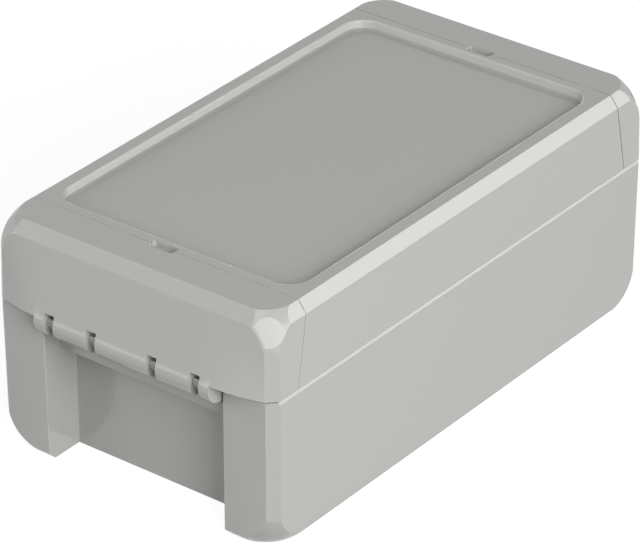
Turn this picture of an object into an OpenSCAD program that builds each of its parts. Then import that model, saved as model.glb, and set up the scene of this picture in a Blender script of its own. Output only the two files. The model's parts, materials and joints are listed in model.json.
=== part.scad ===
// Light-grey plastic project box: a deep base, a lid with a sunk label panel,
// and a hinged snap latch across each short end.
// X is the width, Y the length, Z up. The origin is under the middle of the base.

/* [Overall] */
// Width across the side walls at the parting line
box_w = 80; // [74:0.5:110]
// Length between the end faces of the corner pillars
box_l = 143; // [115:0.5:220]
// Height over the lid rim
box_h = 60; // [56:0.5:90]
// Height of the base, up to the parting line
base_h = 39.3; // [35:0.1:42]
// How far the middle of each latch stands proud of the end faces
latch_bow = 4; // [3.4:0.1:4.8]
// Half width of the flat middle of that bow
bow_flat = 23.6; // [16:0.1:25]

/* [Walls] */
// Side, end and floor wall of the base, and side wall of the lid
wall = 2.5; // [2.2:0.1:3]
// Roof of the lid under the sunk panel
lid_roof = 2.2; // [1.8:0.1:3]
// Wall of a latch
latch_wall = 2.3; // [1.8:0.1:2.6]
// Draft of the base walls in degrees
base_draft = 0.5; // [0.2:0.1:1]
// Draft of the lid walls in degrees
lid_draft = 0.9; // [0.3:0.1:1.2]

/* [Edges] */
// Width taken off the top face by the edge strip along a side
strip_in_side = 2.1; // [1.6:0.1:2.5]
// Width taken off the top face by the edge strip along an end
strip_in_end = 2.5; // [2.1:0.1:3]
// Height taken off the walls by the top edge strip
strip_drop = 2.9; // [2.3:0.1:3.2]
// Leg of the flat strip down each vertical corner
corner_strip = 2.36; // [2.1:0.02:2.6]
// Leg of the strip around the underside
foot_strip = 2; // [1.2:0.1:2.4]
// Distance of an upper corner ball's centre from the three faces
ball_in = 9.75; // [9:0.05:10.4]
// Radius of the flat facet on each upper corner ball
facet_r = 3.4; // [2.5:0.05:4]
// Skin of the end face that the facet leaves standing
facet_skin = 0.3; // [0.1:0.05:0.4]
// Distance of a lower corner ball's centre from the three faces
foot_ball_in = 11.2; // [10:0.1:12]
// Small chamfer along the parting line of the base
rim_chamfer = 0.45; // [0.2:0.05:0.6]

/* [End recess] */
// Width of the recess in each end
recess_w = 51.2; // [50:0.1:54]
// Depth of the recess behind the end face
recess_d = 10.8; // [10.4:0.1:12]
// Chamfer on the outer edges of the recess
recess_chamfer = 0.35; // [0.1:0.05:0.8]
// Height of the hinge ledge's lower edge over the ground
ledge_z = 28; // [24:0.1:29]
// Height of the hinge ledge
ledge_h = 5.8; // [4:0.1:6]
// How far the hinge ledge stands out from the back of the recess
ledge_d = 5.7; // [4.5:0.1:5.9]

/* [Hinges] */
// Radius of a latch's hinge barrel
barrel_r = 4; // [3.7:0.05:4.3]
// Gap between the barrel's ends and the corner pillars
barrel_gap = 0.6; // [0.3:0.1:1.2]
// Diameter of a latch's axle
axle_d = 3.2; // [2.6:0.1:3.6]
// Radial running clearance of the axle in its hooks
axle_fit = 0.05; // [0.02:0.01:0.1]
// Width of each hook that holds the axle
hook_w = 2.5; // [2:0.1:3]
// Radius of a hook around the axle
hook_r = 2.6; // [2.4:0.05:3.9]
// Angle up to which a hook's outer lip closes over the axle
lip_out = 25; // [15:1:35]
// Angle up to which a hook's inner side closes over the axle
lip_in = 40; // [30:1:45]
// Side clearance of a hook in its notch
hook_gap = 0.13; // [0.1:0.01:0.3]
// Radius of the notch that clears a hook
notch_r = 4.4; // [4.2:0.05:4.6]
// Distance of the inner hooks from the middle
hook_x1 = 8.65; // [7:0.05:12]
// Distance of the outer hooks from the middle
hook_x2 = 20.8; // [17:0.05:21.5]

/* [Lid and latch split] */
// Length of each latch on top, back from the end face
latch_l = 11.95; // [11:0.05:14]
// How much further out the split runs at the parting line
split_lean = 3.2; // [2:0.1:4]
// Gap between lid and latch
split_gap = 0.2; // [0.15:0.01:0.4]
// Gap between the upper parts and the base
parting_gap = 0.3; // [0.15:0.05:0.4]
// Rise of a latch's lower edge for each millimetre outward
lip_rise = 0.3; // [0.1:0.05:0.4]
// Length of the screwdriver slot
slot_l = 6.7; // [5:0.1:9]
// Width of the screwdriver slot
slot_w = 2.8; // [2:0.1:3.2]
// Depth of the screwdriver slot
slot_depth = 1.4; // [0.8:0.1:1.6]
// How far the lid's catch rib stands out of its end
catch_d = 3.2; // [2.4:0.1:3.6]
// Height of the catch rib
catch_h = 2.4; // [1.5:0.1:3]
// Height of the catch rib's top over the parting line
catch_z = 6.7; // [6:0.1:8]
// Half length of the catch rib and of the claw
catch_half = 30; // [20:0.5:32]
// Overlap of the latch's claw over the catch rib
claw_lap = 1.5; // [1:0.1:1.8]
// Height of the claw
claw_h = 2.2; // [1.6:0.1:3]
// Gap between the claw and the catch rib
claw_gap = 0.3; // [0.2:0.05:0.5]

/* [Label panel] */
// Top face left beside the sunk panel
panel_side = 3.3; // [2.5:0.1:12]
// Lid left between the sunk panel and each latch
panel_end = 2.6; // [2.2:0.1:20]
// Corner radius of the sunk panel
panel_r = 6; // [3:0.5:10]
// Depth of the sunk panel
panel_depth = 2; // [0.8:0.1:2.4]
// Chamfer around the sunk panel
panel_chamfer = 0.25; // [0.1:0.05:0.4]

/* [Seal] */
// Thickness of the tongue on the base rim
tongue_t = 1.2; // [1:0.05:1.3]
// Height of the tongue
tongue_h = 2.2; // [1.5:0.1:2.6]
// Clearance of the tongue in the lid's groove
tongue_gap = 0.3; // [0.2:0.05:0.35]
// Wall between the groove and the inside of the lid
groove_wall = 1.1; // [0.9:0.1:1.6]
// Height of the gasket cord in the groove
gasket_h = 1.4; // [1:0.1:1.8]

/* [Inside] */
// Corner radius of the inside
inner_r = 4; // [2:0.5:6]
// Diameter of the board bosses
boss_d = 6; // [5:0.1:8]
// Pilot hole in a board boss
pilot_d = 2.5; // [2:0.1:3.2]
// Material left under a pilot hole
pilot_floor = 0.8; // [0.5:0.1:1.5]
// Height of the base bosses over the inner floor
boss_h = 6; // [4:0.5:10]
// Drop of the lid bosses under the lid's roof
lid_boss_h = 5; // [3:0.5:7]
// Distance of the boss holes from the inner side walls
boss_in_x = 6.5; // [5.5:0.1:15]
// Distance of the boss holes from the inner end walls
boss_in_y = 7.2; // [5.5:0.1:20]

/* [Wall fixing] */
// Diameter of the fixing hole in each corner pillar
fix_d = 4.4; // [3.5:0.1:5]
// Diameter of the screw-head bore above it
head_d = 8.4; // [7:0.1:8.6]
// Thickness left under the screw head
fix_seat = 4; // [3:0.5:8]

/* [Hidden] */
$fn = 96;
shell_grey = [0.72, 0.73, 0.71];
seal_black = [0.12, 0.12, 0.12];
eps = 0.01;
// Reach of the cutting tools: across the whole box, and across one corner or hook
far = 400;
near = 20;
half_w = box_w / 2;
half_l = box_l / 2;
lid_z = base_h + parting_gap;
strip_z = box_h - strip_drop;
// Half width and half length at a height, with the drafts of base and lid
function lean(z) = z < base_h ? (base_h - z) * tan(base_draft) : (z - base_h) * tan(lid_draft);
function side_x(z) = half_w - lean(z);
function end_y(z) = half_l - lean(z);
// Corner balls just reach the edges of the strips that they join
ball_touch = 0.06;
ball_r = norm([ball_in - strip_in_side, ball_in]) + ball_touch;
facet_d = sqrt(pow(ball_r, 2) - pow(facet_r, 2));
facet_dir = [1.25, 1.425, 1];
foot_ball_r = norm([foot_ball_in - foot_strip, foot_ball_in]) + ball_touch;
// Hinge axis of each latch: in the end face, at the parting line
axis_y = half_l;
axis_z = base_h;
recess_y = half_l - recess_d;
barrel_half = recess_w / 2 - barrel_gap;
hook_spots = [-hook_x2, -hook_x1, hook_x1, hook_x2];
// The bow of a latch falls away on an arc from its flat middle to the corner strips.
// It is a grid of bow_rows rows, with bow_steps steps along each arc.
bow_end = half_w - corner_strip;
bow_run = bow_end - bow_flat;
bow_arc_r = (pow(bow_run, 2) + pow(latch_bow, 2)) / (2 * latch_bow);
bow_steps = 20;
bow_rows = 4;
bow_back = 8;
bow_right = [for (i = [0 : bow_steps]) bow_flat + bow_run * i / bow_steps];
bow_xs = concat([for (i = [bow_steps : -1 : 0]) -bow_right[i]], bow_right);
function bow(x) = abs(x) <= bow_flat ? latch_bow
    : latch_bow - bow_arc_r + sqrt(pow(bow_arc_r, 2) - pow(abs(x) - bow_flat, 2));
// The split drops straight through the edge strip, then leans outward
split_top = half_l - latch_l;
function split_y(z) = split_top + split_lean * (strip_z - z) / (strip_z - lid_z);
catch_top = base_h + catch_z;
catch_tip = split_y(catch_top) + catch_d;
// Lid, seal and inside
base_in_x = half_w - wall;
base_in_y = recess_y - wall;
lid_in_x = side_x(box_h) - wall;
lid_in_y = split_top - wall;
roof_z = box_h - panel_depth - lid_roof;
tongue_x = base_in_x + tongue_t / 2;
tongue_y = base_in_y + tongue_t / 2;
tongue_r = inner_r + tongue_t / 2;
groove_w = tongue_t + 2 * tongue_gap;
groove_z = base_h + tongue_h + tongue_gap + gasket_h;
rim_in = groove_w / 2 + groove_wall;
rim_top = groove_z + groove_wall;
panel_x = side_x(box_h) - strip_in_side - panel_side;
panel_y = split_top - panel_end;
boss_x = base_in_x - boss_in_x;
boss_y = base_in_y - boss_in_y;
fix_x = (recess_w / 2 + half_w) / 2;
fix_y = recess_y + recess_d / 2;

// Rectangle with round corners, given by its half sizes
module round_rect(hx, hy, r) {
    square([2 * hx, 2 * (hy - r)], center = true);
    square([2 * (hx - r), 2 * hy], center = true);
    for (sx = [-1, 1], sy = [-1, 1])
        translate([sx * (hx - r), sy * (hy - r)])
            circle(r = r);
}

// Frame of width t whose middle line is that rectangle
module round_ring(hx, hy, r, t) {
    difference() {
        round_rect(hx + t / 2, hy + t / 2, r + t / 2);
        round_rect(hx - t / 2, hy - t / 2, r - t / 2);
    }
}

// Profile in the Y-Z plane, drawn along X
module along_x(half, points) {
    rotate([90, 0, 90])
        translate([0, 0, -half])
            linear_extrude(2 * half)
                polygon(points);
}

// Profile in the X-Z plane, drawn along Y
module along_y(half, points) {
    rotate([90, 0, 0])
        translate([0, 0, -half])
            linear_extrude(2 * half)
                polygon(points);
}

function mirrored(points) =
    concat(points, [for (i = [len(points) - 1 : -1 : 0]) [-points[i][0], points[i][1]]]);

// Everything outside the slanted plane of one vertical corner strip
module corner_cut(sx, sy, tilt) {
    translate([sx * (half_w - corner_strip / 2), sy * (half_l - corner_strip / 2), base_h])
        rotate([0, 0, atan2(sy, sx)])
            rotate([0, tilt, 0])
                translate([0, -near, -far / 2])
                    cube([near, 2 * near, far]);
}

// Everything in a corner octant that lies outside its ball; up is 1 on top and -1 below
module ball_cut(sx, sy, up, inset, r) {
    face_z = up > 0 ? box_h : 0;
    translate([
        sx * (side_x(face_z) - inset),
        sy * (end_y(face_z) - inset),
        face_z - up * inset
    ])
        difference() {
            translate([(sx - 1) * near / 2, (sy - 1) * near / 2, (up - 1) * near / 2])
                cube(near);
            sphere(r = r);
        }
}

// Everything beyond the flat facet of an upper corner, back from the skin of the front face
module facet_cut(sx) {
    level = norm([facet_dir[0], facet_dir[1]]);
    difference() {
        translate([
            sx * (side_x(box_h) - ball_in),
            ball_in - end_y(box_h),
            box_h - ball_in
        ])
            rotate([0, 0, atan2(-facet_dir[1], sx * facet_dir[0])])
                rotate([0, -atan2(facet_dir[2], level), 0])
                    translate([facet_d, -near / 2, -near / 2])
                        cube(near);
        along_x(far, [
            [-end_y(lid_z) + facet_skin, lid_z],
            [-end_y(strip_z) + facet_skin, strip_z],
            [-far, strip_z],
            [-far, lid_z]
        ]);
    }
}

// Outer form of the base, without its recesses
module base_form() {
    difference() {
        intersection() {
            along_y(far, mirrored([
                [side_x(0) - foot_strip, 0],
                [side_x(foot_strip), foot_strip],
                [side_x(base_h - rim_chamfer), base_h - rim_chamfer],
                [half_w - rim_chamfer, base_h]
            ]));
            along_x(far, mirrored([
                [end_y(0) - foot_strip, 0],
                [end_y(foot_strip), foot_strip],
                [end_y(base_h - rim_chamfer), base_h - rim_chamfer],
                [half_l - rim_chamfer, base_h]
            ]));
        }
        for (sx = [-1, 1], sy = [-1, 1]) {
            corner_cut(sx, sy, base_draft * sqrt(2));
            ball_cut(sx, sy, -1, foot_ball_in, foot_ball_r);
        }
    }
}

// Outer form of lid and latches together, with square corners and without the bow
module top_form() {
    intersection() {
        along_y(far, mirrored([
            [side_x(lid_z), lid_z],
            [side_x(strip_z), strip_z],
            [side_x(box_h) - strip_in_side, box_h]
        ]));
        along_x(far, mirrored([
            [end_y(lid_z), lid_z],
            [end_y(strip_z), strip_z],
            [end_y(box_h) - strip_in_end, box_h]
        ]));
    }
}

// Recess in the front end, open to the front and below
module end_recess() {
    hw = recess_w / 2;
    translate([0, 0, -near])
        linear_extrude(far)
            polygon(mirrored([
                [hw, -recess_y],
                [hw, -half_l + recess_chamfer],
                [hw + recess_chamfer, -half_l],
                [hw + recess_chamfer, -half_l - near]
            ]));
}

// Hook on the ledge that grips the axle, open above it
module axle_hook() {
    foot_turn = 80;
    arm_top = axis_z - 2 * parting_gap;
    translate([-hook_w / 2, 0, 0])
        rotate([90, 0, 90])
            linear_extrude(hook_w)
                difference() {
                    union() {
                        translate([-axis_y, axis_z])
                            circle(r = hook_r);
                        polygon([
                            [-recess_y + eps, ledge_z + ledge_h / 2],
                            [-recess_y + eps, arm_top],
                            [-axis_y + hook_r, arm_top],
                            [-axis_y + hook_r * cos(foot_turn), axis_z - hook_r * sin(foot_turn)],
                            [-recess_y - ledge_d, ledge_z + ledge_h / 2]
                        ]);
                    }
                    translate([-axis_y, axis_z]) {
                        circle(d = axle_d + 2 * axle_fit);
                        polygon([
                            [0, 0],
                            [-near * cos(lip_out), near * sin(lip_out)],
                            [0, near],
                            [near * cos(lip_in), near * sin(lip_in)]
                        ]);
                    }
                }
}

// Ledge and hooks that carry the front latch
module end_fittings() {
    translate([-recess_w / 2 - eps, -recess_y - ledge_d, ledge_z])
        cube([recess_w + 2 * eps, ledge_d + eps, ledge_h]);
    for (x = hook_spots)
        translate([x, 0, 0])
            axle_hook();
}

// Boss of height h on the surface it grows from
module board_boss(h) {
    difference() {
        translate([0, 0, -eps])
            cylinder(d = boss_d, h = h + eps);
        translate([0, 0, pilot_floor])
            cylinder(d = pilot_d, h = h);
    }
}

module fixing_hole() {
    translate([0, 0, -near])
        cylinder(d = fix_d, h = far);
    translate([0, 0, fix_seat])
        cylinder(d = head_d, h = far);
}

module base() {
    color(shell_grey) {
        difference() {
            base_form();
            translate([0, 0, wall])
                linear_extrude(far)
                    round_rect(base_in_x, base_in_y, inner_r);
            for (turn = [0, 180])
                rotate([0, 0, turn])
                    end_recess();
            for (sx = [-1, 1], sy = [-1, 1])
                translate([sx * fix_x, sy * fix_y, 0])
                    fixing_hole();
        }
        for (turn = [0, 180])
            rotate([0, 0, turn])
                end_fittings();
        translate([0, 0, base_h - eps])
            linear_extrude(tongue_h + eps)
                round_ring(tongue_x, tongue_y, tongue_r, tongue_t);
        for (sx = [-1, 1], sy = [-1, 1])
            translate([sx * boss_x, sy * boss_y, wall])
                board_boss(boss_h);
    }
}

// Half of the screwdriver slot lies in the lid and half in the latch
module pry_slot() {
    translate([0, -split_top, box_h - slot_depth])
        linear_extrude(near)
            square([slot_l, slot_w], center = true);
}

// Sunk label panel with a chamfer all around its upper edge
module label_panel() {
    c = panel_chamfer;
    translate([0, 0, box_h - panel_depth])
        linear_extrude(near)
            round_rect(panel_x, panel_y, panel_r);
    along_x(panel_x - panel_r, mirrored([[panel_y, box_h - c], [panel_y + 2 * c, box_h + c]]));
    along_y(panel_y - panel_r, mirrored([[panel_x, box_h - c], [panel_x + 2 * c, box_h + c]]));
    for (sx = [-1, 1], sy = [-1, 1])
        translate([sx * (panel_x - panel_r), sy * (panel_y - panel_r), box_h - c])
            cylinder(r1 = panel_r, r2 = panel_r + 2 * c, h = 2 * c);
}

module lid() {
    color(shell_grey) {
        difference() {
            union() {
                intersection() {
                    top_form();
                    along_x(far, mirrored([
                        [split_y(lid_z), lid_z],
                        [split_top, strip_z],
                        [split_top, box_h]
                    ]));
                }
                for (sy = [-1, 1])
                    translate([-catch_half, (sy > 0 ? 0 : -1) * catch_tip, catch_top - catch_h])
                        cube([2 * catch_half, catch_tip, catch_h]);
            }
            translate([0, 0, -near])
                linear_extrude(roof_z + near)
                    round_rect(tongue_x - rim_in, tongue_y - rim_in, inner_r);
            translate([0, 0, rim_top])
                linear_extrude(roof_z - rim_top)
                    round_rect(lid_in_x, lid_in_y, inner_r);
            translate([0, 0, lid_z - near])
                linear_extrude(groove_z - lid_z + near)
                    round_ring(tongue_x, tongue_y, tongue_r, groove_w);
            label_panel();
            for (turn = [0, 180])
                rotate([0, 0, turn])
                    pry_slot();
        }
        for (sx = [-1, 1], sy = [-1, 1])
            translate([sx * boss_x, sy * boss_y, roof_z])
                mirror([0, 0, 1])
                    board_boss(lid_boss_h);
    }
}

module lid_gasket() {
    color(seal_black)
        translate([0, 0, groove_z - gasket_h])
            linear_extrude(gasket_h)
                round_ring(tongue_x, tongue_y, tongue_r, groove_w);
}

// Bowed front of a latch: straight under the edge strip, fully bowed at the parting line
module bow_block(inset, low) {
    shrink = (bow_end - inset) / bow_end;
    back = -half_l + bow_back;
    n = len(bow_xs);
    levels = [for (k = [0 : bow_rows]) low + (strip_z - low) * k / bow_rows];
    front = [for (z = levels, x = bow_xs)
        [x * shrink, inset - end_y(z) - bow(x) * (strip_z - z) / (strip_z - base_h), z]];
    rear = [for (z = levels, sx = [-1, 1]) [sx * bow_end * shrink, back, z]];
    left = len(front);
    right = left + 1;
    top = 2 * bow_rows;
    rows = [0 : bow_rows - 1];
    cells = [for (k = rows, i = [0 : n - 2]) k * n + i];
    polyhedron(concat(front, rear), concat(
        [for (c = cells) [c, c + n, c + n + 1]],
        [for (c = cells) [c, c + n + 1, c + 1]],
        [for (k = rows) [left + 2 * k, left + 2 * k + 2, (k + 1) * n, k * n]],
        [for (k = rows) [(k + 1) * n - 1, (k + 2) * n - 1, right + 2 * k + 2, right + 2 * k]],
        [for (k = rows) [right + 2 * k, right + 2 * k + 2, left + 2 * k + 2, left + 2 * k]],
        [
            concat([left + top, right + top], [for (i = [1 : n]) left - i]),
            concat([left], [for (i = [0 : n - 1]) i], [right])
        ]
    ));
}

module barrel(r, from, to) {
    translate([from, -axis_y, axis_z])
        rotate([0, 90, 0])
            cylinder(r = r, h = to - from);
}

// Solid of the front latch before it is hollowed and notched
module latch_form() {
    low_y = half_l + latch_bow + 1;
    difference() {
        union() {
            intersection() {
                union() {
                    top_form();
                    bow_block(0, base_h);
                }
                union() {
                    along_x(far, [
                        [-split_top - split_gap, box_h],
                        [-split_top - split_gap, strip_z],
                        [-split_y(lid_z) - split_gap, lid_z],
                        [-half_l, lid_z],
                        [-low_y, lid_z + (low_y - half_l) * lip_rise],
                        [-low_y, box_h]
                    ]);
                    along_x(barrel_half, [
                        [-half_l, base_h],
                        [-low_y, base_h],
                        [-low_y, box_h],
                        [-half_l, box_h]
                    ]);
                }
            }
            barrel(barrel_r, -barrel_half, barrel_half);
        }
        for (sx = [-1, 1]) {
            corner_cut(sx, -1, -lid_draft * sqrt(2));
            ball_cut(sx, -1, 1, ball_in, ball_r);
            facet_cut(sx);
        }
    }
}

// Room inside a latch, between its walls, with the claw and the barrel left standing
module latch_room() {
    room_x = side_x(box_h) - latch_wall;
    room_y = end_y(box_h) - latch_wall;
    room_top = box_h - latch_wall;
    floor_z = base_h + latch_wall / 2;
    difference() {
        union() {
            difference() {
                translate([-room_x, -room_y, 0])
                    cube([2 * room_x, room_y, room_top]);
                for (sx = [-1, 1])
                    ball_cut(sx, -1, 1, ball_in, ball_r - latch_wall);
            }
            intersection() {
                bow_block(latch_wall, floor_z);
                translate([-far, -far, floor_z])
                    cube([2 * far, far, strip_z - latch_wall - floor_z]);
            }
        }
        barrel(barrel_r, -barrel_half, barrel_half);
        translate([-catch_half, -far, catch_top + claw_gap])
            cube([2 * catch_half, far - catch_tip + claw_lap, claw_h]);
    }
}

module latch() {
    notch_half = hook_w / 2 + hook_gap;
    axle_half = notch_half + barrel_gap;
    difference() {
        latch_form();
        latch_room();
        for (x = hook_spots)
            barrel(notch_r, x - notch_half, x + notch_half);
        pry_slot();
    }
    for (x = hook_spots)
        barrel(axle_d / 2, x - axle_half, x + axle_half);
}

module front_latch() {
    color(shell_grey)
        latch();
}

module rear_latch() {
    color(shell_grey)
        rotate([0, 0, 180])
            latch();
}

base();
lid();
lid_gasket();
front_latch();
rear_latch();
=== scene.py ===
"""Dresses a light-grey plastic project box: softened edges, plastic and rubber, studio and camera."""

import json
import math

import bmesh
import bpy
from mathutils import Matrix, Vector

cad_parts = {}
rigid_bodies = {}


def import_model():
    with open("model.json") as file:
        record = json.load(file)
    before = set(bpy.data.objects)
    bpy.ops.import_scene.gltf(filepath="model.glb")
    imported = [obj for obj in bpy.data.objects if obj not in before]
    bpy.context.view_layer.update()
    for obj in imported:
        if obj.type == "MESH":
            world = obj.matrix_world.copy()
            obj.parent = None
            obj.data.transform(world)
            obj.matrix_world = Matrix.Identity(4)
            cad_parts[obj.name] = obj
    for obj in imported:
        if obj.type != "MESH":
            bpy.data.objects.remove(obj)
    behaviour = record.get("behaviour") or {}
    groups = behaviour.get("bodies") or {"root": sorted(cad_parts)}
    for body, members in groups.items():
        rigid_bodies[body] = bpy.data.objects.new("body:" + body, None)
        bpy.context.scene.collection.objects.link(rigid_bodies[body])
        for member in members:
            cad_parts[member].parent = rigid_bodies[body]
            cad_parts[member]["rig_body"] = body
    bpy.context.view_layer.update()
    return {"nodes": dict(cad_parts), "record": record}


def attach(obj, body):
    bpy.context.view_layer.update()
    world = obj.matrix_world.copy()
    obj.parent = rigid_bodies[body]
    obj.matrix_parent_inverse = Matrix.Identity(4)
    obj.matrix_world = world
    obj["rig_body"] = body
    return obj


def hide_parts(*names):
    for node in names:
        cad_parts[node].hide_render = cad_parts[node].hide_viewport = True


bl_info = {
    "name": "Plastic Project Box",
    "version": (1, 0, 0),
    "blender": (4, 5, 0),
    "location": "View3D > Sidebar > Project Box",
    "description": "Dresses a project box with softened edges, moulded plastic, a rubber seal and a studio",
    "category": "Object",
}

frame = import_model()
MM = 0.001
WHITE = (1, 1, 1, 1)

# How close vertices are to be joined, and how flat two faces lie to be made one
JOIN_REACH = 0.002 * MM
FLAT_ANGLE = math.radians(0.05)
# Edges sharper than this are rounded, and the others are shaded smooth
SHARP_ANGLE = math.radians(20)
# A facet's area over its outline length, and its least angle to a curved surface that it cuts
FACET_BREADTH = (0.8 * MM, 3 * MM)
FACET_ANGLE = math.radians(7)

# The latches' axes lie at the parting line, with a chamfer of the base under it
PARTING_HEIGHT = frame["record"]["behaviour"]["joints"][0]["pos_m"][2]
RIM_CHAMFER = 0.45 * MM
RIM_FOOT = PARTING_HEIGHT - RIM_CHAMFER
# How level an edge has to be, and how far the outer edge runs in round the corners
LEVEL_REACH = 0.02 * MM
CORNER_REACH = 4 * MM

# Height and least width of the hinge ledges' lower edge, and how far down the face under it looks
LEDGE_HEIGHT = 28 * MM
LEDGE_WIDTH = 10 * MM
LEDGE_FACING = -0.9
LEDGE_SEGMENTS = 3

# Rounding of the sealing cord
SEAL_RADIUS = 0.2 * MM
SEAL_SEGMENTS = 2

# Patterns that both polymers share: size of a spot and level of detail
CLOUDS = (35 * MM, 2)
SPECKS = (1.2 * MM, 4)
POLISH = (6 * MM, 3)
GRAIN_DETAIL = 2
POLYMER_IOR = 1.5
# How far the clouds and the specks change the shade, and how far the polish changes the roughness
PLASTIC_SHADES = (0.008, 0.012)
PLASTIC_POLISH = 0.02
PLASTIC_GRAIN = 0.5 * MM
RUBBER_SHADES = (0.1, 0.3)
RUBBER_POLISH = 0.1
RUBBER_PORE = 0.25 * MM
RUBBER_PORE_DEPTH = 0.02 * MM

GROUND_SIZE = 8
# The ground keeps the shadow up to this distance from the middle of the box
SHADOW_REACH = 0.5
# Colour with which the ground lights the box from below
GROUND_BOUNCE = (0.15, 0.15, 0.15, 1)
SENSOR_WIDTH_MM = 36
VIEW_REACH = 20
LAMP_DISTANCE = 1.5
# Name, azimuth and elevation in degrees, size in metres, power in watts
LAMPS = (
    ("key", 60, 25, 0.8, 17.8),
    ("right side", 90, 20, 0.8, 5.4),
    ("left side", -60, 20, 0.8, 6.2),
    ("front left", -30, 10, 0.8, 3.5),
    ("front high", 0, 60, 0.8, 2.5),
    ("right rear", 137, 21, 0.4, 1.9),
    ("left rear", 228, 3, 0.8, 12),
)


class ShellSettings(bpy.types.PropertyGroup):
    """Finish of the moulded base, lid and latches"""

    colour: bpy.props.FloatVectorProperty(
        name="Colour", description="Colour of the moulded plastic",
        subtype="COLOR", size=3, min=0, max=1, default=(0.482, 0.49, 0.466))
    roughness: bpy.props.FloatProperty(
        name="Roughness", description="Roughness of the moulded surface",
        min=0.02, max=1, default=0.12)
    grain_height: bpy.props.FloatProperty(
        name="Grain height", description="Height of the fine grain that the mould leaves in the surface",
        subtype="DISTANCE", unit="LENGTH", min=0, max=0.00002, default=0.0000005)
    edge_radius: bpy.props.FloatProperty(
        name="Edge radius", description="Radius that softens the sharp moulded edges",
        subtype="DISTANCE", unit="LENGTH", min=0.00002, max=0.0003, default=0.00008)
    rim_drop: bpy.props.FloatProperty(
        name="Rim drop", description="How far the chamfer under the parting line reaches further down",
        subtype="DISTANCE", unit="LENGTH", min=0, max=0.0004, default=0.00008)
    ledge_radius: bpy.props.FloatProperty(
        name="Ledge radius", description="Radius of the lower front edge of the hinge ledges",
        subtype="DISTANCE", unit="LENGTH", min=0.00005, max=0.0005, default=0.00025)
    edge_segments: bpy.props.IntProperty(
        name="Edge segments", description="Number of facets across a softened edge",
        min=1, max=6, default=2)


class SealSettings(bpy.types.PropertyGroup):
    """Finish of the sealing cord"""

    colour: bpy.props.FloatVectorProperty(
        name="Colour", description="Colour of the foamed rubber cord",
        subtype="COLOR", size=3, min=0, max=1, default=(0.018, 0.018, 0.018))
    roughness: bpy.props.FloatProperty(
        name="Roughness", description="Roughness of the rubber", min=0.02, max=1, default=0.75)


class StudioSettings(bpy.types.PropertyGroup):
    """Camera, light and ground"""

    azimuth: bpy.props.FloatProperty(
        name="Azimuth", description="Camera's turn from the front end towards the right side",
        subtype="ANGLE", default=math.radians(37.65))
    elevation: bpy.props.FloatProperty(
        name="Elevation", description="Camera's height angle over the ground",
        subtype="ANGLE", default=math.radians(29.985))
    roll: bpy.props.FloatProperty(
        name="Roll", description="Camera's turn about its line of sight",
        subtype="ANGLE", default=math.radians(-0.1))
    distance: bpy.props.FloatProperty(
        name="Distance", description="Distance from the camera to its aim",
        subtype="DISTANCE", unit="LENGTH", min=0.2, default=1.0022)
    aim: bpy.props.FloatVectorProperty(
        name="Aim", description="Point the camera looks at, from the middle of the underside",
        subtype="TRANSLATION", size=3, default=(-0.00088, -0.00213, 0.02681))
    lens: bpy.props.FloatProperty(
        name="Lens", description="Focal length in millimetres on a 36 mm sensor", min=20, default=241.9)
    ambient: bpy.props.FloatProperty(
        name="Ambient", description="Strength of the even light from all round", min=0, max=2, default=0)
    ground_glow: bpy.props.FloatProperty(
        name="Ground glow", description="Brightness of the white ground in full shadow",
        min=0, max=1, default=0.88)
    shadow_depth: bpy.props.FloatProperty(
        name="Shadow depth", description="Share of the lamps' light that the ground shows beside its glow",
        min=0, max=1, default=0.25)


def select_only(piece):
    """Makes one object the selected and active one"""
    bpy.ops.object.select_all(action="DESELECT")
    piece.select_set(True)
    bpy.context.view_layer.objects.active = piece


def merged_copy(node, name):
    """Copy of a frame node with its vertices joined and its flat faces made whole"""
    piece = bpy.data.objects.new(name, frame["nodes"][node].data.copy())
    bpy.context.scene.collection.objects.link(piece)
    select_only(piece)
    bpy.ops.object.mode_set(mode="EDIT")
    bpy.ops.mesh.select_all(action="SELECT")
    bpy.ops.mesh.remove_doubles(threshold=JOIN_REACH)
    bpy.ops.mesh.dissolve_limited(angle_limit=FLAT_ANGLE, delimit=set())
    bpy.ops.object.mode_set(mode="OBJECT")
    return piece


def keep_facets_crisp(piece):
    """Keeps a crisp outline where a broad flat facet cuts shallowly into a curved surface"""
    shape = bmesh.new()
    shape.from_mesh(piece.data)
    for edge in shape.edges:
        if len(edge.link_faces) == 2 and edge.calc_face_angle() > FACET_ANGLE:
            breadth = max(face.calc_area() / face.calc_perimeter() for face in edge.link_faces)
            if FACET_BREADTH[0] < breadth < FACET_BREADTH[1]:
                edge.smooth = False
    shape.to_mesh(piece.data)
    shape.free()


def select_edges(piece, wanted):
    """Goes into edit mode with only the wanted edges selected"""
    select_only(piece)
    bpy.ops.object.mode_set(mode="EDIT")
    bpy.ops.mesh.select_mode(type="EDGE")
    bpy.ops.mesh.select_all(action="DESELECT")
    shape = bmesh.from_edit_mesh(piece.data)
    for edge in shape.edges:
        edge.select_set(len(edge.link_faces) == 2 and wanted(edge))
    bmesh.update_edit_mesh(piece.data)


def steepen_rim(piece, foot, drop):
    """Lowers the foot of the chamfer that runs round the base's upper outer edge"""
    half_width = max(abs(vertex.co.x) for vertex in piece.data.vertices)
    half_length = max(abs(vertex.co.y) for vertex in piece.data.vertices)

    def outside(point):
        return abs(point.x) > half_width - CORNER_REACH or abs(point.y) > half_length - CORNER_REACH

    def rim_foot(edge):
        return all(abs(vertex.co.z - foot) < LEVEL_REACH and outside(vertex.co) for vertex in edge.verts)

    select_edges(piece, rim_foot)
    bpy.ops.transform.translate(value=(0, 0, -drop))
    bpy.ops.object.mode_set(mode="OBJECT")


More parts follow.
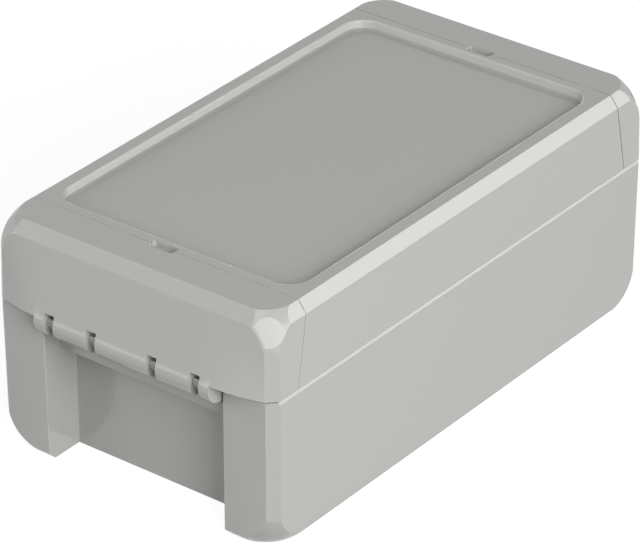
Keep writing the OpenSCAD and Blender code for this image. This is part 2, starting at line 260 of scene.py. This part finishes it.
def round_ledges(piece, height, radius):
    """Rounds the lower front edge of both hinge ledges"""

    def under_ledge(edge):
        level = all(abs(vertex.co.z - height) < LEVEL_REACH for vertex in edge.verts)
        facing = min(face.normal.z for face in edge.link_faces)
        width = abs(edge.verts[0].co.x - edge.verts[1].co.x)
        return level and facing < LEDGE_FACING and width > LEDGE_WIDTH

    select_edges(piece, under_ledge)
    bpy.ops.mesh.bevel(offset=radius, segments=LEDGE_SEGMENTS, affect="EDGES")
    bpy.ops.object.mode_set(mode="OBJECT")


def soften_edges(piece, radius, segments):
    """Rounds the sharp edges by radius and shades the rest smooth"""
    select_only(piece)
    bpy.ops.object.shade_smooth_by_angle(angle=SHARP_ANGLE)
    keep_facets_crisp(piece)
    bevel = piece.modifiers.new("edges", "BEVEL")
    bevel.width = radius
    bevel.segments = segments
    bevel.limit_method = "ANGLE"
    bevel.angle_limit = SHARP_ANGLE
    bevel.harden_normals = True
    bpy.ops.object.modifier_apply(modifier=bevel.name)


def noise(nodes, links, position, grain, detail):
    """Noise from 0 to 1 whose spots are about one grain across, in metres"""
    texture = nodes.new("ShaderNodeTexNoise")
    texture.inputs["Scale"].default_value = 1 / grain
    texture.inputs["Detail"].default_value = detail
    links.new(position, texture.inputs["Vector"])
    return texture.outputs["Fac"]


def around(nodes, links, value, middle, spread):
    """Turns a 0 to 1 value into one that varies by spread on both sides of middle"""
    swing = nodes.new("ShaderNodeMapRange")
    swing.inputs["To Min"].default_value = middle - spread
    swing.inputs["To Max"].default_value = middle + spread
    links.new(value, swing.inputs["Value"])
    return swing.outputs["Result"]


def scaled_colour(nodes, links, colour, factor):
    """The colour made lighter or darker by a factor"""
    scale = nodes.new("ShaderNodeVectorMath")
    scale.operation = "SCALE"
    scale.inputs[0].default_value = colour
    links.new(factor, scale.inputs["Scale"])
    return scale.outputs["Vector"]


def grained(name, colour, roughness, shades, polish, grain, grain_height):
    """Polymer whose shade drifts in wide clouds and fine specks, over a fine grain in its surface"""
    material, nodes, links = empty_material(name)
    shader = nodes.new("ShaderNodeBsdfPrincipled")
    finish = nodes.new("ShaderNodeOutputMaterial")
    links.new(shader.outputs["BSDF"], finish.inputs["Surface"])
    shader.inputs["IOR"].default_value = POLYMER_IOR
    position = nodes.new("ShaderNodeTexCoord").outputs["Object"]
    clouds = around(nodes, links, noise(nodes, links, position, *CLOUDS), 1, shades[0])
    specks = around(nodes, links, noise(nodes, links, position, *SPECKS), 1, shades[1])
    shade = nodes.new("ShaderNodeMath")
    shade.operation = "MULTIPLY"
    links.new(clouds, shade.inputs[0])
    links.new(specks, shade.inputs[1])
    tint = scaled_colour(nodes, links, colour, shade.outputs[0])
    links.new(tint, shader.inputs["Base Color"])
    sheen = around(nodes, links, noise(nodes, links, position, *POLISH), roughness, polish)
    links.new(sheen, shader.inputs["Roughness"])
    bump = nodes.new("ShaderNodeBump")
    bump.inputs["Strength"].default_value = 1
    bump.inputs["Distance"].default_value = grain_height
    links.new(noise(nodes, links, position, grain, GRAIN_DETAIL), bump.inputs["Height"])
    links.new(bump.outputs["Normal"], shader.inputs["Normal"])
    return material


def plastic(name, shell):
    """Light-grey moulded plastic with a low, even sheen"""
    return grained(name, shell.colour, shell.roughness, PLASTIC_SHADES, PLASTIC_POLISH,
                   PLASTIC_GRAIN, shell.grain_height)


def rubber(name, seal):
    """Matt foamed rubber with open pores"""
    return grained(name, seal.colour, seal.roughness, RUBBER_SHADES, RUBBER_POLISH,
                   RUBBER_PORE, RUBBER_PORE_DEPTH)


def empty_material(name):
    """New material without nodes, and its node and link lists"""
    material = bpy.data.materials.new(name)
    material.use_nodes = True
    material.node_tree.nodes.clear()
    return material, material.node_tree.nodes, material.node_tree.links


def mix_shaders(nodes, links, factor, first, second):
    """Mix Shader node that goes from the first shader to the second by a factor"""
    mix = nodes.new("ShaderNodeMixShader")
    links.new(factor, mix.inputs["Fac"])
    links.new(first.outputs[0], mix.inputs[1])
    links.new(second.outputs[0], mix.inputs[2])
    return mix


def seen_directly(nodes, links):
    """1 for rays from the camera, and for rays mirrored or let through by a surface"""
    path = nodes.new("ShaderNodeLightPath")
    total = path.outputs["Is Camera Ray"]
    for ray in ("Is Glossy Ray", "Is Transmission Ray"):
        join = nodes.new("ShaderNodeMath")
        join.operation = "MAXIMUM"
        links.new(total, join.inputs[0])
        links.new(path.outputs[ray], join.inputs[1])
        total = join.outputs[0]
    return total


def dress(piece, node, material):
    """Puts a piece in the place of its frame node, with its finish"""
    piece.data.materials.clear()
    piece.data.materials.append(material)
    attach(piece, frame["nodes"][node]["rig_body"])
    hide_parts(node)


class MakeBase(bpy.types.Operator):
    """Softens the base's edges and gives it its plastic"""

    bl_idname = "project_box.make_base"
    bl_label = "Base"

    def execute(self, context):
        shell = context.scene.project_box_shell
        piece = merged_copy("base", "base_tub")
        steepen_rim(piece, RIM_FOOT, shell.rim_drop)
        round_ledges(piece, LEDGE_HEIGHT, shell.ledge_radius)
        soften_edges(piece, shell.edge_radius, shell.edge_segments)
        dress(piece, "base", plastic("base plastic", shell))
        return {"FINISHED"}


class MakeLid(bpy.types.Operator):
    """Softens the lid's edges and gives it its plastic"""

    bl_idname = "project_box.make_lid"
    bl_label = "Lid"

    def execute(self, context):
        shell = context.scene.project_box_shell
        piece = merged_copy("lid", "lid_cover")
        soften_edges(piece, shell.edge_radius, shell.edge_segments)
        dress(piece, "lid", plastic("lid plastic", shell))
        return {"FINISHED"}


class MakeSeal(bpy.types.Operator):
    """Gives the sealing cord its rubber"""

    bl_idname = "project_box.make_seal"
    bl_label = "Seal"

    def execute(self, context):
        seal = context.scene.project_box_seal
        piece = merged_copy("lid_gasket", "seal_cord")
        soften_edges(piece, SEAL_RADIUS, SEAL_SEGMENTS)
        dress(piece, "lid_gasket", rubber("seal rubber", seal))
        return {"FINISHED"}


class MakeLatches(bpy.types.Operator):
    """Softens the edges of both latches and gives them their plastic"""

    bl_idname = "project_box.make_latches"
    bl_label = "Latches"

    def execute(self, context):
        shell = context.scene.project_box_shell
        for node in ("front_latch", "rear_latch"):
            piece = merged_copy(node, node + "_cover")
            soften_edges(piece, shell.edge_radius, shell.edge_segments)
            dress(piece, node, plastic(node + " plastic", shell))
        return {"FINISHED"}


class MakeStage(bpy.types.Operator):
    """Sets up the ground, the studio light and the camera"""

    bl_idname = "project_box.make_stage"
    bl_label = "Stage"

    def execute(self, context):
        studio = context.scene.project_box_studio
        self.ground(studio)
        self.world(context, studio)
        for name, azimuth, elevation, size, power in LAMPS:
            self.lamp(name, self.direction(math.radians(azimuth), math.radians(elevation)), size, power)
        self.camera(context, studio)
        return {"FINISHED"}

    def direction(self, azimuth, elevation):
        """Unit vector from the box, with azimuth 0 in front of the front latch and 90 at the right side"""
        flat = math.cos(elevation)
        return Vector((math.sin(azimuth) * flat, -math.cos(azimuth) * flat, math.sin(elevation)))

    def ground(self, studio):
        """White ground that keeps the box's soft shadow near the box and is evenly white further out"""
        bpy.ops.object.select_all(action="DESELECT")
        bpy.ops.mesh.primitive_plane_add(size=GROUND_SIZE, location=(0, 0, 0))
        floor = bpy.context.active_object
        floor.name = "ground"
        material, nodes, links = empty_material("ground")
        position = nodes.new("ShaderNodeTexCoord").outputs["Object"]
        distance = nodes.new("ShaderNodeVectorMath")
        distance.operation = "LENGTH"
        links.new(position, distance.inputs[0])
        fade = nodes.new("ShaderNodeMapRange")
        fade.interpolation_type = "SMOOTHSTEP"
        fade.inputs["From Min"].default_value = SHADOW_REACH / 2
        fade.inputs["From Max"].default_value = SHADOW_REACH
        links.new(distance.outputs["Value"], fade.inputs["Value"])
        lit = nodes.new("ShaderNodeBsdfDiffuse")
        lit.inputs["Color"].default_value = (studio.shadow_depth,) * 3 + (1,)
        glow = nodes.new("ShaderNodeEmission")
        glow.inputs["Strength"].default_value = studio.ground_glow
        shadowed = nodes.new("ShaderNodeAddShader")
        links.new(lit.outputs[0], shadowed.inputs[0])
        links.new(glow.outputs[0], shadowed.inputs[1])
        white = nodes.new("ShaderNodeEmission")
        seen = mix_shaders(nodes, links, fade.outputs["Result"], shadowed, white)
        bounce = nodes.new("ShaderNodeBsdfDiffuse")
        bounce.inputs["Color"].default_value = GROUND_BOUNCE
        shown = mix_shaders(nodes, links, seen_directly(nodes, links), bounce, seen)
        finish = nodes.new("ShaderNodeOutputMaterial")
        links.new(shown.outputs[0], finish.inputs["Surface"])
        floor.data.materials.append(material)

    def world(self, context, studio):
        """White where it is seen or mirrored, and an even soft light for everything else"""
        world = bpy.data.worlds.new("studio")
        world.use_nodes = True
        nodes, links = world.node_tree.nodes, world.node_tree.links
        ambient = nodes["Background"]
        ambient.inputs["Color"].default_value = WHITE
        ambient.inputs["Strength"].default_value = studio.ambient
        white = nodes.new("ShaderNodeBackground")
        white.inputs["Color"].default_value = WHITE
        shown = mix_shaders(nodes, links, seen_directly(nodes, links), ambient, white)
        links.new(shown.outputs[0], nodes["World Output"].inputs["Surface"])
        context.scene.world = world

    def lamp(self, name, direction, size, power):
        """Square lamp at the lamps' distance, turned towards the middle of the underside"""
        light = bpy.data.lights.new(name, "AREA")
        light.size = size
        light.energy = power
        lamp = bpy.data.objects.new(name, light)
        lamp.location = direction * LAMP_DISTANCE
        lamp.rotation_euler = (-direction).to_track_quat("-Z", "Y").to_euler()
        bpy.context.scene.collection.objects.link(lamp)

    def camera(self, context, studio):
        """Camera at the studio's angles and distance, looking at its aim"""
        back = self.direction(studio.azimuth, studio.elevation)
        data = bpy.data.cameras.new("camera")
        data.lens = studio.lens
        data.sensor_width = SENSOR_WIDTH_MM
        data.clip_end = VIEW_REACH
        camera = bpy.data.objects.new("camera", data)
        turn = Matrix.Rotation(studio.azimuth, 4, "Z")
        tilt = Matrix.Rotation(math.pi / 2 - studio.elevation, 4, "X")
        roll = Matrix.Rotation(studio.roll, 4, "Z")
        place = Matrix.Translation(Vector(studio.aim) + back * studio.distance)
        camera.matrix_world = place @ turn @ tilt @ roll
        context.scene.collection.objects.link(camera)
        context.scene.camera = camera
        context.scene.view_settings.view_transform = "Standard"


class ProjectBoxPanel(bpy.types.Panel):
    """Lists the box's settings and the steps that make it"""

    bl_idname = "VIEW3D_PT_project_box"
    bl_label = "Project Box"
    bl_space_type = "VIEW_3D"
    bl_region_type = "UI"
    bl_category = "Project Box"

    def draw(self, context):
        for name in ("project_box_shell", "project_box_seal", "project_box_studio"):
            group = getattr(context.scene, name)
            for key in group.__annotations__:
                self.layout.prop(group, key)
        for step in STEPS:
            self.layout.operator(step.bl_idname)


GROUPS = {
    "project_box_shell": ShellSettings,
    "project_box_seal": SealSettings,
    "project_box_studio": StudioSettings,
}
STEPS = (MakeBase, MakeLid, MakeSeal, MakeLatches, MakeStage)


def register():
    for cls in (*GROUPS.values(), *STEPS, ProjectBoxPanel):
        bpy.utils.register_class(cls)
    for name, group in GROUPS.items():
        setattr(bpy.types.Scene, name, bpy.props.PointerProperty(type=group))


def unregister():
    for name in GROUPS:
        delattr(bpy.types.Scene, name)
    for cls in reversed((*GROUPS.values(), *STEPS, ProjectBoxPanel)):
        bpy.utils.unregister_class(cls)


def main():
    register()
    bpy.ops.project_box.make_base()
    bpy.ops.project_box.make_lid()
    bpy.ops.project_box.make_seal()
    bpy.ops.project_box.make_latches()
    bpy.ops.project_box.make_stage()


if __name__ == "__main__":
    main()
